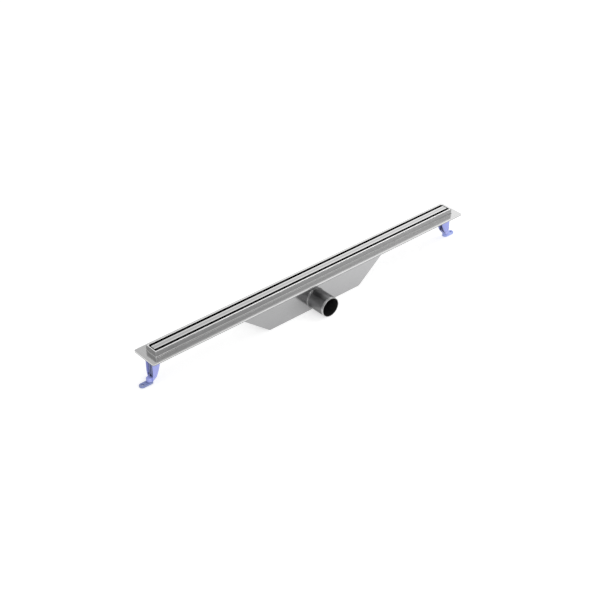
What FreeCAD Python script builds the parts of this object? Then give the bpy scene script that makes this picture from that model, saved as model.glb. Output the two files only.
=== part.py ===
import FreeCAD, Part
import math
import os

# Linear shower drain with side outlet, sizes in millimetres.
# X runs along the channel, -Y is the side of the outlet, +Z is up.
# The origin is the middle of the sump's underside, on the floor slab.

V = FreeCAD.Vector

# Slack for telling which edges to round
edge_tolerance = 1e-6

# Stainless sheet that the whole channel body is folded and welded from
sheet = 1.5
bend_radius = 1.0

# Upstand: the hemmed frame that shows in the tiled floor
frame_length = 900.0
frame_width = 34.0
upstand_height = 14.0
side_rim = 4.0
end_rim = 3.2
hem_depth = 9.0

# Cover strip that lies in the frame and leaves a slot on each side
side_slot = 5.5
end_gap = 2.0
cover_depth = 9.0

# Supports welded inside the cover strip
support_length = 16.0
support_sheet = 1.2
support_end_margin = 20.0
support_foot_gap = 1.2
supports_each_side = 3

# Sealing flange round the upstand
flange_end_overhang = 20.0
flange_side_overhang = 18.5
flange_corner_radius = 5.0

# Troughs that lead the water to the sump
trough_depth = 9.0
trough_fall = 2.0
level_end_length = 42.0

# Sump: trapezoid box below the middle of the channel
flange_level = 77.0
sump_top_half_length = 236.0
sump_bottom_half_length = 138.0
sump_bend_radius = 4.0

# Outlet spigot for a 50 mm push-fit pipe
outlet_radius = 25.0
outlet_wall = 2.0
outlet_axis_height = 27.0
outlet_projection = 52.0
mouth_bevel_length = 4.0
mouth_bevel_depth = 0.9
collar_length = 3.0
collar_flare = 1.4
collar_shoulder_length = 1.0
collar_shoulder_flare = 0.6

# Odour trap: fixed weir box round the outlet and a lift-out bell over it
weir_height = 44.0
weir_side_margin = 5.0
weir_depth = 12.0
bell_wall = 1.8
bell_water_gap = 5.0
bell_head_room = 8.5
bell_dip_level = 12.0
bell_leg_width = 8.0
bell_bottom_clearance = 0.2
seal_thickness = 2.0
seal_width = 4.0
lug_length = 22.0
lug_height = 8.0
lug_hole_radius = 2.6

# Sieve plate over the mouth of the sump
sieve_sheet = 1.0
sieve_lap = 10.0
sieve_side_gap = 1.2
sieve_slot_length = 18.0
sieve_slot_width = 3.0
sieve_slot_pitch = 25.0
sieve_row_pitch = 8.0
sieve_rows = 3

# Plastic legs: bracket under each trough end and a foot that slides in it.
# They are drawn about the middle plane and then set off it by the side shift.
leg_overhang = 5.0
leg_side_shift = 3.3
leg_outer_half = 13.0
leg_inner_half = 9.0
leg_wall = 2.2
leg_cap = 2.5
leg_top_depth = 22.0
leg_waist_depth = 14.2
leg_ankle_depth = 2.0
leg_shoulder_height = 50.0
leg_waist_height = 27.0
leg_taper_height = 34.0
leg_calf_height = 21.0
leg_calf_half_width = 11.6
web_thickness = 1.8
slide_clearance = 0.3
foot_travel = 30.0

# Ankle: round cup at the bottom of the bracket, in front of the tongue
ankle_top = 17.0
ankle_floor = 2.0
ankle_gap = 2.0
cup_radius = 7.5
cup_offset = 2.4
cup_wall = 1.5
cup_bevel = 1.6

# Tongue of the foot and the two ribs that guide it
tongue_recess = 2.4
tongue_thickness = 2.0
tongue_half_width = 4.2
tongue_end_margin = 2.5
rib_thickness = 1.2

# Foot pad, which hangs a little above the sump's underside when it is pushed in
pad_rest_level = 2.0
pad_thickness = 4.0
pad_half_width = 7.5
pad_heel_offset = 1.8
pad_hole_offset = 21.2
pad_edge_chamfer = 0.7
anchor_hole_radius = 3.2

# Clamp screw that locks each foot
clamp_screw_radius = 1.6
clamp_head_radius = 2.4
clamp_head_clearance = 0.4
clamp_head_height = 1.6
clamp_head_chamfer = 0.5
clamp_boss_radius = 3.4
clamp_boss_length = 3.0
driver_slot_width = 0.8
driver_slot_depth = 0.8

# Weld stud and nut that hold each bracket
stud_radius = 2.5
stud_length = 9.5
stud_inset = 14.0
nut_across_flats = 8.0
nut_height = 4.0

# Levels and half sizes that follow from the sizes above
half_length = frame_length / 2
half_width = frame_width / 2
inner_half_length = half_length - sheet
inner_half_width = half_width - sheet
frame_top = flange_level + upstand_height
flange_bottom = flange_level - sheet
cover_half_length = half_length - end_rim - end_gap
cover_half_width = half_width - side_rim - side_slot
trough_end_bottom = flange_bottom - trough_depth
trough_inner_bottom = trough_end_bottom - trough_fall
fall_start = half_length - level_end_length
sump_slope = (sump_top_half_length - sump_bottom_half_length) / flange_level
sump_mouth_half_length = sump_bottom_half_length + sump_slope * trough_inner_bottom
floor_slope = trough_fall / (fall_start - sump_mouth_half_length)
leg_outer_x = half_length + leg_overhang
leg_splay = (leg_outer_half - leg_inner_half) / leg_top_depth
tongue_outer = leg_outer_x - tongue_recess
tongue_inner = tongue_outer - tongue_thickness
web_outer = tongue_inner - slide_clearance
web_inner = web_outer - web_thickness
cup_centre = leg_outer_x + cup_offset
pad_top = pad_rest_level + pad_thickness
ankle_bottom = pad_top + ankle_gap
clamp_screw_height = ankle_top + clamp_head_clearance + clamp_head_radius
tongue_slot_half = clamp_screw_radius + slide_clearance
tongue_top = clamp_screw_height + foot_travel + tongue_slot_half + tongue_end_margin


def box(x0, x1, y0, y1, z0, z1):
    """Box between two opposite corners."""
    return Part.makeBox(x1 - x0, y1 - y0, z1 - z0, V(x0, y0, z0))


def centred_box(half_x, half_y, z0, z1):
    """Box centred on the Z axis in plan."""
    return box(-half_x, half_x, -half_y, half_y, z0, z1)


def ring(half_x, half_y, hole_half_x, hole_half_y, z0, z1):
    """Rectangular ring centred on the Z axis."""
    return centred_box(half_x, half_y, z0, z1).cut(centred_box(hole_half_x, hole_half_y, z0, z1))


def side_profile(points, y0, y1):
    """Prism along Y from an outline given as (x, z) points."""
    wire = Part.makePolygon([V(x, y0, z) for x, z in points + points[:1]])
    return Part.Face(wire).extrude(V(0, y1 - y0, 0))


def end_profile(points, x0, x1):
    """Prism along X from an outline given as (y, z) points."""
    wire = Part.makePolygon([V(x0, y, z) for y, z in points + points[:1]])
    return Part.Face(wire).extrude(V(x1 - x0, 0, 0))


def upright_cylinder(radius, x, y, z0, z1):
    """Cylinder along Z."""
    return Part.makeCylinder(radius, z1 - z0, V(x, y, z0))


def round_edges(shape, radius, wanted):
    """Fillet the edges that the test accepts."""
    edges = [edge for edge in shape.Edges if wanted(edge)]
    return shape.makeFillet(radius, edges)


def on_level(edge, z):
    """True for an edge that lies flat on one level."""
    bounds = edge.BoundBox
    return abs(bounds.ZMin - z) < edge_tolerance and abs(bounds.ZMax - z) < edge_tolerance


def on_end(edge, x):
    """True for an edge that lies wholly at the outermost x."""
    return edge.BoundBox.XMin > x - edge_tolerance


def across(edge):
    """True for an edge that runs straight along Y."""
    return edge.BoundBox.XLength < edge_tolerance


def upright(edge):
    """True for an edge that rises from one level to another."""
    return edge.BoundBox.ZLength > edge_tolerance


def along_bottom(edge):
    """True for an edge that runs along X below the flange."""
    bounds = edge.BoundBox
    return bounds.YLength < edge_tolerance and bounds.ZMax < flange_bottom - edge_tolerance


def mirrored(shape):
    """The same form on the -X side."""
    return shape.mirror(V(0, 0, 0), V(1, 0, 0))


def save(shape, name):
    """Write one piece after checking that it is sound."""
    shape = shape.removeSplitter()
    if not shape.isValid() or len(shape.Solids) == 0:
        raise ValueError("piece is not a sound solid: " + name)
    solids = shape.Solids
    piece = solids[0] if len(solids) == 1 else Part.makeCompound(solids)
    piece.exportStep("parts/" + name + ".step")


def channel_frame():
    """Upstand: outer wall, level rim and inner lip, folded from one sheet."""
    lip_half_x = half_length - end_rim
    lip_half_y = half_width - side_rim
    wall = ring(half_length, half_width, inner_half_length, inner_half_width, flange_bottom, frame_top)
    rim = ring(half_length, half_width, lip_half_x, lip_half_y, frame_top - sheet, frame_top)
    lip = ring(lip_half_x + sheet, lip_half_y + sheet, lip_half_x, lip_half_y,
               frame_top - hem_depth, frame_top)
    body = wall.fuse(rim).fuse(lip).removeSplitter()
    return round_edges(body, bend_radius, lambda edge: on_level(edge, frame_top))


def sealing_flange():
    """Flat sheet with rounded corners, welded round the foot of the upstand."""
    sheet_plate = centred_box(half_length + flange_end_overhang, half_width + flange_side_overhang,
                              flange_bottom, flange_level)
    sheet_plate = round_edges(sheet_plate, flange_corner_radius, upright)
    return sheet_plate.cut(centred_box(half_length, half_width, flange_bottom, flange_level))


def trough_bottom_at(x):
    """Underside of the trough floor at a distance x from the middle."""
    return trough_end_bottom - floor_slope * max(0.0, fall_start - x)


def sump_outline():
    """Outer trapezoid of the sump in side view, up to the flange."""
    top_half = sump_bottom_half_length + sump_slope * flange_bottom
    return [(-sump_bottom_half_length, 0.0), (sump_bottom_half_length, 0.0),
            (top_half, flange_bottom), (-top_half, flange_bottom)]


def trough():
    """Open trough on the +X side, with a level end and a fall to the sump."""
    inner_end = trough_bottom_at(0.0)
    outer = side_profile([(0.0, inner_end), (fall_start, trough_end_bottom),
                          (half_length, trough_end_bottom), (half_length, flange_bottom),
                          (0.0, flange_bottom)], -half_width, half_width)
    outer = round_edges(outer, bend_radius + sheet, along_bottom)
    hollow = side_profile([(0.0, inner_end + sheet), (fall_start, trough_end_bottom + sheet),
                           (inner_half_length, trough_end_bottom + sheet),
                           (inner_half_length, flange_bottom), (0.0, flange_bottom)],
                          -inner_half_width, inner_half_width)
    hollow = round_edges(hollow, bend_radius, along_bottom)
    sump_space = side_profile(sump_outline(), -half_width, half_width)
    return outer.cut(hollow).cut(sump_space)


def sump_plate(y0):
    """Trapezoid side plate of the sump, with the corners of the folded floor."""
    plate = side_profile(sump_outline(), y0, y0 + sheet)
    return round_edges(plate, sump_bend_radius, lambda edge: on_level(edge, 0.0) and across(edge))


def sump_front_plate():
    """Front plate with the opening for the outlet."""
    opening = Part.makeCylinder(outlet_radius - outlet_wall, sheet,
                                V(0, -half_width, outlet_axis_height), V(0, 1, 0))
    return sump_plate(-half_width).cut(opening)


def sump_floor():
    """Floor and both slanted ends, folded from one strip between the side plates."""
    rise = trough_inner_bottom + sheet
    top_half = sump_bottom_half_length + sump_slope * rise
    slant_shift = sheet * math.sqrt(1.0 + sump_slope ** 2)
    inner_bottom_half = sump_bottom_half_length + sump_slope * sheet - slant_shift
    inner_top_half = top_half - slant_shift
    strip = side_profile([(-sump_bottom_half_length, 0.0), (sump_bottom_half_length, 0.0),
                          (top_half, rise), (inner_top_half, rise),
                          (inner_bottom_half, sheet), (-inner_bottom_half, sheet),
                          (-inner_top_half, rise), (-top_half, rise)],
                         -inner_half_width, inner_half_width)
    strip = round_edges(strip, sump_bend_radius, lambda edge: on_level(edge, 0.0) and across(edge))
    return round_edges(strip, sump_bend_radius - sheet,
                       lambda edge: on_level(edge, sheet) and across(edge))


def turned_on_outlet(points):
    """Turned piece on the outlet axis from (radius, distance from the plate) points."""
    corners = [V(radius, -half_width - distance, outlet_axis_height) for radius, distance in points]
    face = Part.Face(Part.makePolygon(corners + corners[:1]))
    return face.revolve(V(0, 0, outlet_axis_height), V(0, 1, 0), 360)


def outlet_pipe():
    """Spigot with a bevelled mouth, welded to the collar."""
    bore = outlet_radius - outlet_wall
    return turned_on_outlet([(bore, collar_length), (outlet_radius, collar_length),
                             (outlet_radius, outlet_projection - mouth_bevel_length),
                             (outlet_radius - mouth_bevel_depth, outlet_projection),
                             (bore, outlet_projection)])


def outlet_collar():
    """Flared collar between the sump plate and the spigot."""
    bore = outlet_radius - outlet_wall
    return turned_on_outlet([(bore, 0.0), (outlet_radius + collar_flare, 0.0),
                             (outlet_radius + collar_shoulder_flare, collar_shoulder_length),
                             (outlet_radius, collar_length), (bore, collar_length)])


def cover_strip():
    """Upturned tray that lies flush in the frame."""
    tray = centred_box(cover_half_length, cover_half_width, frame_top - cover_depth, frame_top)
    tray = round_edges(tray, bend_radius, lambda edge: on_level(edge, frame_top))
    hollow = centred_box(cover_half_length - sheet, cover_half_width - sheet,
                         frame_top - cover_depth, frame_top - sheet)
    return tray.cut(hollow)


def cover_support(x):
    """Hat-shaped bracket inside the cover strip, with feet on the trough floor."""
    leg_y = cover_half_width - sheet
    foot_y = inner_half_width - support_foot_gap
    foot_level = trough_bottom_at(abs(x) + support_length / 2) + sheet
    top = frame_top - sheet
    outline = [(-foot_y, foot_level), (-leg_y + support_sheet, foot_level),
               (-leg_y + support_sheet, top - support_sheet), (leg_y - support_sheet, top - support_sheet),
               (leg_y - support_sheet, foot_level), (foot_y, foot_level),
               (foot_y, foot_level + support_sheet), (leg_y, foot_level + support_sheet),
               (leg_y, top), (-leg_y, top),
               (-leg_y, foot_level + support_sheet), (-foot_y, foot_level + support_sheet)]
    return end_profile(outline, x - support_length / 2, x + support_length / 2)


def support_positions():
    """Middle of each support, evenly spread over both troughs."""
    outer = cover_half_length - support_end_margin
    inner = sump_mouth_half_length + sieve_lap + support_length
    step = (outer - inner) / (supports_each_side - 1)
    right = [inner + step * index for index in range(supports_each_side)]
    return [-x for x in reversed(right)] + right


def weir_half_length():
    """Half length of the weir box on its outer faces."""
    return outlet_radius - outlet_wall + weir_side_margin


def weir_box():
    """Three-sided box round the outlet opening, open at the top."""
    half = weir_half_length()
    back = -inner_half_width + weir_depth
    outer = box(-half, half, -inner_half_width, back, sheet, weir_height)
    hollow = box(-half + sheet, half - sheet, -inner_half_width, back - sheet, sheet, weir_height)
    return outer.cut(hollow)


def bell_half_length():
    """Half length of the bell's inside."""
    return weir_half_length() + bell_water_gap


def bell_back():
    """Y of the bell's inner back face."""
    return -inner_half_width + weir_depth + bell_water_gap


def trap_bell():
    """Lift-out bell with four legs, a dip edge between them and a lifting lug."""
    half = bell_half_length()
    back = bell_back()
    front = -inner_half_width + seal_thickness
    foot = sheet + bell_bottom_clearance
    inner_top = weir_height + bell_head_room
    top = inner_top + bell_wall
    shell = box(-half - bell_wall, half + bell_wall, front, back + bell_wall, foot, top)
    shell = shell.cut(box(-half, half, front, back, foot, inner_top))
    back_window = box(-half - bell_wall + bell_leg_width, half + bell_wall - bell_leg_width,
                      back, back + bell_wall, foot, bell_dip_level)
    side_window = box(-half - bell_wall, half + bell_wall, front + bell_wall,
                      back + bell_wall - bell_leg_width, foot, bell_dip_level)
    shell = shell.cut(back_window).cut(side_window)
    middle = (front + back + bell_wall) / 2
    lug = box(-lug_length / 2, lug_length / 2, middle - bell_wall / 2, middle + bell_wall / 2,
              top - bell_wall / 2, top + lug_height)
    hole_start = V(0, middle - bell_wall / 2, top + lug_height / 2)
    finger_hole = Part.makeCylinder(lug_hole_radius, bell_wall, hole_start, V(0, 1, 0))
    lug = lug.cut(finger_hole)
    return shell.fuse(lug)


def trap_seal():
    """Rubber strip between the bell's front edge and the front plate."""
    outer_half = bell_half_length() + bell_wall
    inner_half = outer_half - seal_width
    top = weir_height + bell_head_room + bell_wall
    front = -inner_half_width
    frame = box(-outer_half, outer_half, front, front + seal_thickness, bell_dip_level, top)
    return frame.cut(box(-inner_half, inner_half, front, front + seal_thickness,
                         bell_dip_level, top - seal_width))


def hair_sieve():
    """Slotted plate that lies on the inner ends of both trough floors."""
    half_x = sump_mouth_half_length + sieve_lap
    half_y = inner_half_width - sieve_side_gap
    bottom = trough_bottom_at(half_x) + sheet
    top = bottom + sieve_sheet
    plate = centred_box(half_x, half_y, bottom, top)
    reach = sump_mouth_half_length - sieve_slot_length
    columns = int(reach / sieve_slot_pitch)
    slots = []
    for row in range(sieve_rows):
        y = (row - (sieve_rows - 1) / 2) * sieve_row_pitch
        for column in range(-columns, columns + 1):
            x = column * sieve_slot_pitch
            slots.append(box(x - sieve_slot_length / 2, x + sieve_slot_length / 2,
                             y - sieve_slot_width / 2, y + sieve_slot_width / 2, bottom, top))
    return plate.cut(Part.makeCompound(slots))


def leg_half_width(x):
    """Half width of the bracket, which narrows from its outer face inwards."""
    return leg_outer_half - leg_splay * (leg_outer_x - x)


def leg_block(x0, x1, wall, z0, z1):
    """Upright block with the bracket's splayed sides, set in by a wall thickness."""
    near = leg_half_width(x0) - wall
    far = leg_half_width(x1) - wall
    corners = [V(x0, -near, z0), V(x1, -far, z0), V(x1, far, z0), V(x0, near, z0)]
    return Part.Face(Part.makePolygon(corners + corners[:1])).extrude(V(0, 0, z1 - z0))


def leg_side_view():
    """Side view of the bracket as a prism: straight shoulder and a curve to the ankle."""
    outer = leg_outer_x
    top = trough_end_bottom
    side = -leg_outer_half
    shoulder = V(outer - leg_top_depth, side, leg_shoulder_height)
    heel = V(outer - leg_ankle_depth, side, ankle_bottom)
    curve = Part.Arc(shoulder, V(outer - leg_waist_depth, side, leg_waist_height), heel).toShape()
    corners = [heel, V(outer, side, ankle_bottom), V(outer, side, top),
               V(outer - leg_top_depth, side, top), shoulder]
    lines = [Part.makeLine(first, last) for first, last in zip(corners, corners[1:])]
    outline = Part.Wire(Part.__sortEdges__([curve] + lines))
    return Part.Face(outline).extrude(V(0, 2 * leg_outer_half, 0))


def leg_front_view(wall):
    """Front view of the bracket as a prism, set in by a wall: it narrows down to the cup."""
    start = leg_outer_x - leg_top_depth
    edges = []
    for side in (-1, 1):
        low = V(start, side * (cup_radius - wall), ankle_bottom)
        calf = V(start, side * (leg_calf_half_width - wall), leg_calf_height)
        knee = V(start, side * (leg_outer_half - wall), leg_taper_height)
        high = V(start, side * (leg_outer_half - wall), trough_end_bottom)
        edges += [Part.Arc(low, calf, knee).toShape(), Part.makeLine(knee, high)]
    for level, half in ((ankle_bottom, cup_radius - wall), (trough_end_bottom, leg_outer_half - wall)):
        edges.append(Part.makeLine(V(start, -half, level), V(start, half, level)))
    outline = Part.Wire(Part.__sortEdges__(edges))
    return Part.Face(outline).extrude(V(leg_top_depth, 0, 0))


def leg_pocket(x0, x1):
    """Space between the flanks, from the floor of the ankle to the cap."""
    space = leg_block(x0, x1, leg_wall, ankle_top, trough_end_bottom - leg_cap)
    return space.common(leg_front_view(leg_wall))


def leg_shell():
    """Cap, two splayed flanks and the web between them, with the heel below the web."""
    inner_x = leg_outer_x - leg_top_depth
    body = leg_block(inner_x, leg_outer_x, 0.0, ankle_bottom, trough_end_bottom)
    body = body.common(leg_side_view()).common(leg_front_view(0.0))
    body = body.cut(leg_pocket(inner_x, web_inner)).cut(leg_pocket(web_outer, leg_outer_x))
    rib_y = tongue_half_width + slide_clearance
    for y0, y1 in ((-rib_y - rib_thickness, -rib_y), (rib_y, rib_y + rib_thickness)):
        body = body.fuse(box(web_outer, tongue_outer, y0, y1, ankle_top, trough_end_bottom - leg_cap))
    return body


def ankle_cup():
    """Round cup in front of the heel."""
    cup = upright_cylinder(cup_radius, cup_centre, 0.0, ankle_bottom, ankle_top)
    cup = cup.makeChamfer(cup_bevel, [edge for edge in cup.Edges if on_level(edge, ankle_top)])
    front = box(tongue_outer, cup_centre + cup_radius, -cup_radius, cup_radius, ankle_bottom, ankle_top)
    return cup.common(front)


def ankle_core():
    """Hollow of the cup, open below."""
    core_top = ankle_top - ankle_floor
    core = upright_cylinder(cup_radius - cup_wall, cup_centre, 0.0, ankle_bottom, core_top)
    core_start = tongue_outer + slide_clearance + cup_wall
    return core.common(box(core_start, cup_centre + cup_radius, -cup_radius, cup_radius,
                           ankle_bottom, core_top))


def leg_bracket():
    """Moulded leg on the +X side, with the slot for the tongue and the holes."""
    top = trough_end_bottom
    screw_start = V(web_inner - clamp_boss_length, 0, clamp_screw_height)
    boss = Part.makeCylinder(clamp_boss_radius, clamp_boss_length, screw_start, V(1, 0, 0))
    body = leg_shell().fuse(ankle_cup()).fuse(boss).cut(ankle_core())
    slot_half = tongue_half_width + slide_clearance
    tongue_slot = box(web_outer, tongue_outer + slide_clearance, -slot_half, slot_half,
                      ankle_bottom, ankle_top)
    screw_hole = Part.makeCylinder(clamp_screw_radius, clamp_boss_length + web_thickness,
                                   screw_start, V(1, 0, 0))
    stud_hole = upright_cylinder(stud_radius, stud_x(), 0.0, top - leg_cap, top)
    return body.cut(tongue_slot).cut(screw_hole).cut(stud_hole)


def stud_x():
    """X of the weld stud, inside the inner pocket of the bracket."""
    return leg_outer_x - stud_inset


def foot_pad():
    """Pad with two round ends and an anchor hole in the outer one."""
    heel_x = leg_outer_x + pad_heel_offset
    hole_x = leg_outer_x + pad_hole_offset
    pad = box(heel_x, hole_x, -pad_half_width, pad_half_width, pad_rest_level, pad_top)
    for x in (heel_x, hole_x):
        pad = pad.fuse(upright_cylinder(pad_half_width, x, 0.0, pad_rest_level, pad_top))
    pad = pad.removeSplitter()
    rim = [edge for edge in pad.Edges if on_level(edge, pad_top)]
    pad = pad.makeChamfer(pad_edge_chamfer, rim)
    return pad.cut(upright_cylinder(anchor_hole_radius, hole_x, 0.0, pad_rest_level, pad_top))


def leg_foot():
    """Foot on the +X side: pad and the slotted tongue that slides in the bracket."""
    tongue = box(tongue_inner, tongue_outer, -tongue_half_width, tongue_half_width,
                 pad_rest_level + pad_edge_chamfer, tongue_top)
    slot_bottom = clamp_screw_height
    slot_top = clamp_screw_height + foot_travel
    slot = box(tongue_inner, tongue_outer, -tongue_slot_half, tongue_slot_half, slot_bottom, slot_top)
    for level in (slot_bottom, slot_top):
        end = Part.makeCylinder(tongue_slot_half, tongue_thickness, V(tongue_inner, 0, level), V(1, 0, 0))
        slot = slot.fuse(end)
    return foot_pad().fuse(tongue).cut(slot)


def clamp_screw():
    """Slotted screw through the tongue's slot into the boss of the bracket."""
    tip = web_inner - clamp_boss_length
    head_face = tongue_outer + slide_clearance
    shank = Part.makeCylinder(clamp_screw_radius, head_face - tip,
                              V(tip, 0, clamp_screw_height), V(1, 0, 0))
    head = Part.makeCylinder(clamp_head_radius, clamp_head_height,
                             V(head_face, 0, clamp_screw_height), V(1, 0, 0))
    crown = head_face + clamp_head_height
    rim = [edge for edge in head.Edges if on_end(edge, crown)]
    head = head.makeChamfer(clamp_head_chamfer, rim)
    slot = box(crown - driver_slot_depth, crown, -clamp_head_radius, clamp_head_radius,
               clamp_screw_height - driver_slot_width / 2,
               clamp_screw_height + driver_slot_width / 2)
    return shank.fuse(head).cut(slot)


def bracket_stud():
    """Stud welded under the trough end."""
    return upright_cylinder(stud_radius, stud_x(), 0.0, trough_end_bottom - stud_length, trough_end_bottom)


def bracket_nut():
    """Hexagon nut that clamps the bracket to the trough."""
    top = trough_end_bottom - leg_cap
    corner_radius = nut_across_flats / math.sqrt(3.0)
    corners = []
    for index in range(7):
        angle = math.radians(60.0 * index)
        corners.append(V(stud_x() + corner_radius * math.cos(angle),
                         corner_radius * math.sin(angle), top - nut_height))
    hexagon = Part.Face(Part.makePolygon(corners)).extrude(V(0, 0, nut_height))
    return hexagon.cut(upright_cylinder(stud_radius, stud_x(), 0.0, top - nut_height, top))


def main():
    os.makedirs("parts", exist_ok=True)
    save(channel_frame(), "channel_frame")
    save(sealing_flange(), "sealing_flange")
    save(sump_front_plate(), "sump_front_plate")
    save(sump_plate(half_width - sheet), "sump_rear_plate")
    save(sump_floor(), "sump_floor")
    save(outlet_pipe(), "outlet_pipe")
    save(outlet_collar(), "outlet_collar")
    save(cover_strip(), "cover_strip")
    for number, x in enumerate(support_positions(), start=1):
        save(cover_support(x), "cover_support_" + str(number))
    save(weir_box(), "weir_box")
    save(trap_bell(), "trap_bell")
    save(trap_seal(), "trap_seal")
    save(hair_sieve(), "hair_sieve")
    pairs = {"leg_bracket": leg_bracket(), "leg_foot": leg_foot(), "clamp_screw": clamp_screw(),
             "bracket_stud": bracket_stud(), "bracket_nut": bracket_nut()}
    for shape in pairs.values():
        shape.translate(V(0, leg_side_shift, 0))
    pairs["trough"] = trough()
    for name, shape in pairs.items():
        save(shape, name + "_right")
        save(mirrored(shape), name + "_left")


main()
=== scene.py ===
"""Linear shower drain: finishes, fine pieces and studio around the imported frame."""

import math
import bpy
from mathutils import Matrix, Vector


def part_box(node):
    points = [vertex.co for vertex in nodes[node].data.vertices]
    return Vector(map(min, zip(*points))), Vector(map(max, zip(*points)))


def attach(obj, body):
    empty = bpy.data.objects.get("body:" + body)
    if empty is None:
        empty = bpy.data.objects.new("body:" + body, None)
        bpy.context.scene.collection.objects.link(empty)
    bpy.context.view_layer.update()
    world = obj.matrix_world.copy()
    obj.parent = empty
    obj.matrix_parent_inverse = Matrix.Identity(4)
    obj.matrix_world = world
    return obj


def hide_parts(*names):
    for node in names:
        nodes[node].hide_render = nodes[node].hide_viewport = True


bl_info = {
    "name": "Linear shower drain",
    "version": (1, 0, 0),
    "blender": (4, 5, 0),
    "location": "3D View > Sidebar > Drain",
    "description": "Finishes and fine pieces for a linear shower drain with side outlet",
    "category": "Object",
}

import bmesh
import bpy
from mathutils import Vector

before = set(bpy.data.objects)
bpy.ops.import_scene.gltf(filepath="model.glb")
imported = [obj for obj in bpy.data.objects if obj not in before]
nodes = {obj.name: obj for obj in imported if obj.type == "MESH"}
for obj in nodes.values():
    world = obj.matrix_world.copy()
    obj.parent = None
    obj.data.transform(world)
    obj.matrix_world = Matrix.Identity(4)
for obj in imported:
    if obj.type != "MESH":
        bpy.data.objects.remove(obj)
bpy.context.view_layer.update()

MM = 0.001
WHITE = (1.0, 1.0, 1.0)
SIDES = ("left", "right")
SUPPORTS = ["cover_support_" + str(number) for number in range(1, 7)]

# Places from the frame
FRAME_LOW, FRAME_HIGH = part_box("channel_frame")
FLANGE_LOW, FLANGE_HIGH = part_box("sealing_flange")
TROUGH_LOW, TROUGH_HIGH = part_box("trough_left")
PIPE_LOW, PIPE_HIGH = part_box("outlet_pipe")
PIPE_AXIS = Vector((0.0, 0.0, (PIPE_LOW.z + PIPE_HIGH.z) / 2))
LEG_LOW, LEG_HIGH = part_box("leg_bracket_right")
LEG_MIDDLE_Y = (LEG_LOW.y + LEG_HIGH.y) / 2

# Where the channel's finishes begin and end, with its painted shade and painted highlight
# Painted shade: dark bands over both slots, a little wider than the openings, reaching onto the rim
# and the cover
FRONT_SLOT_SHADE = (-12.7 * MM, -6.7 * MM)
BACK_SLOT_SHADE = (7.1 * MM, 14.0 * MM)
SLOT_SHADE_EDGE = 0.1 * MM
SLOT_SHADE_END = 5.0 * MM
EDGE_RADIUS = 1.0 * MM
GROUND_EDGE = 0.06 * MM
# Painted highlight on both sides of the cover strip, beyond this half-width
UNHIGHLIGHTED_STRIP_HALF = 3.6 * MM
LIP_TOP = 1.3 * MM
CUT_EDGE = 0.1 * MM
TROUGH_WALL = 1.3 * MM

# Recess of a leg, where its painted shade falls
LEG_OVERHANG = 5.0 * MM
LEG_FLANK = 3.5 * MM
LEG_OUTER_X = FRAME_HIGH.x + LEG_OVERHANG
RECESS_HALF = (LEG_HIGH.y - LEG_LOW.y) / 2 - LEG_FLANK
RECESS_REACH = 4.0
RECESS_EDGE = 0.1
CUP_TOP = 17.2 * MM

# Forms of the fine pieces
FLANGE_CORNER = 5.0 * MM
LIP_CORNER = 0.0
CORNER_STEPS = 6
FOLD_SHARE = 0.3
SEAT_SINK = 0.05 * MM
THREAD_DEPTH = 0.5
THREAD_STEPS = 40
BEVEL_FADE = 0.4 * MM
BEVEL_STEP = 0.08 * MM
MOUTH_ROUND = 0.25 * MM
MOUTH_ROUND_LENGTH = 0.18 * MM
BORE_MARGIN = 0.1 * MM
ROUND_SEGMENTS = 2
MERGE_DISTANCE = 0.002 * MM
FLAT_ANGLE = math.radians(1.0)
SHARP_ANGLE = math.radians(40)
SMOOTH_ANGLE = math.radians(35)
TUBE_SMOOTH_ANGLE = math.radians(25)

# How far each grain is stretched along X, Y and Z
EVEN = (1.0, 1.0, 1.0)
GROUND_LINES = (0.02, 1.0, 1.0)
ROLLED_LINES = (0.03, 1.0, 1.0)
SHEET_LINES = (0.05, 1.0, 1.0)
STREAK_LINES = (1.0, 0.03, 1.0)
FINE_STREAK_LINES = (1.0, 0.01, 1.0)
FLOW_LINES = (1.0, 1.0, 0.4)

# Sizes of the grains
SHEET_GRAIN = 1.2 * MM
INNER_GRAIN = 1.0 * MM
STREAK_GRAIN = 6.0 * MM
FINE_STREAK_GRAIN = 0.6 * MM
FLOW_GRAIN = 12.0 * MM
SKIN_GRAIN = 0.4 * MM
MARK_GRAIN = 30.0 * MM
SMALL_MARK_GRAIN = 4.0 * MM
COARSE_DETAIL = 2.0
MIDDLE_DETAIL = 3.0
FINE_DETAIL = 4.0
GRAIN_ROUGHNESS = 0.6
GRAIN_VALUES = (0.25, 0.75)
RELIEF_DEPTH = 0.02 * MM
LINE_RELIEF = 0.25
GROUND_RELIEF = 0.3

# Darkest and lightest shares of a colour in its grain
LINE_TONES = (0.93, 1.06)
WALL_TONES = (0.9, 1.1)
DULL_TONES = (0.8, 1.2)
MARK_TONES = (0.85, 1.1)
STREAK_TONES = (0.75, 1.0)
FLOW_TONES = (0.94, 1.06)
BELL_TONES = (0.85, 1.15)

# How far each grain changes the roughness
LINE_SPREAD = 0.04
GROUND_SPREAD = 0.05
MARK_SPREAD = (-0.02, 0.05)
SMALL_MARK_SPREAD = 0.06
FLOW_SPREAD = (-0.04, 0.05)
STREAK_ROUGHNESS = (0.3, 0.4)

# Painted reflection: tones of the bands along the drawn tube at angles in degrees from +X towards
# +Z
TUBE_PAINTED_REFLECTION = ((0, 0.6), (20, 0.35), (38, 0.75), (46, 1.0), (52, 0.8), (58, 0.25), (64, 0.75),
              (80, 0.95), (99, 0.85), (106, 0.35), (113, 0.75), (128, 0.6), (142, 0.6), (149, 0.15),
              (157, 0.55), (172, 0.45), (185, 0.6), (205, 0.85), (225, 1.0), (250, 0.5), (275, 0.8),
              (300, 0.25), (330, 0.8), (360, 0.6))

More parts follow.
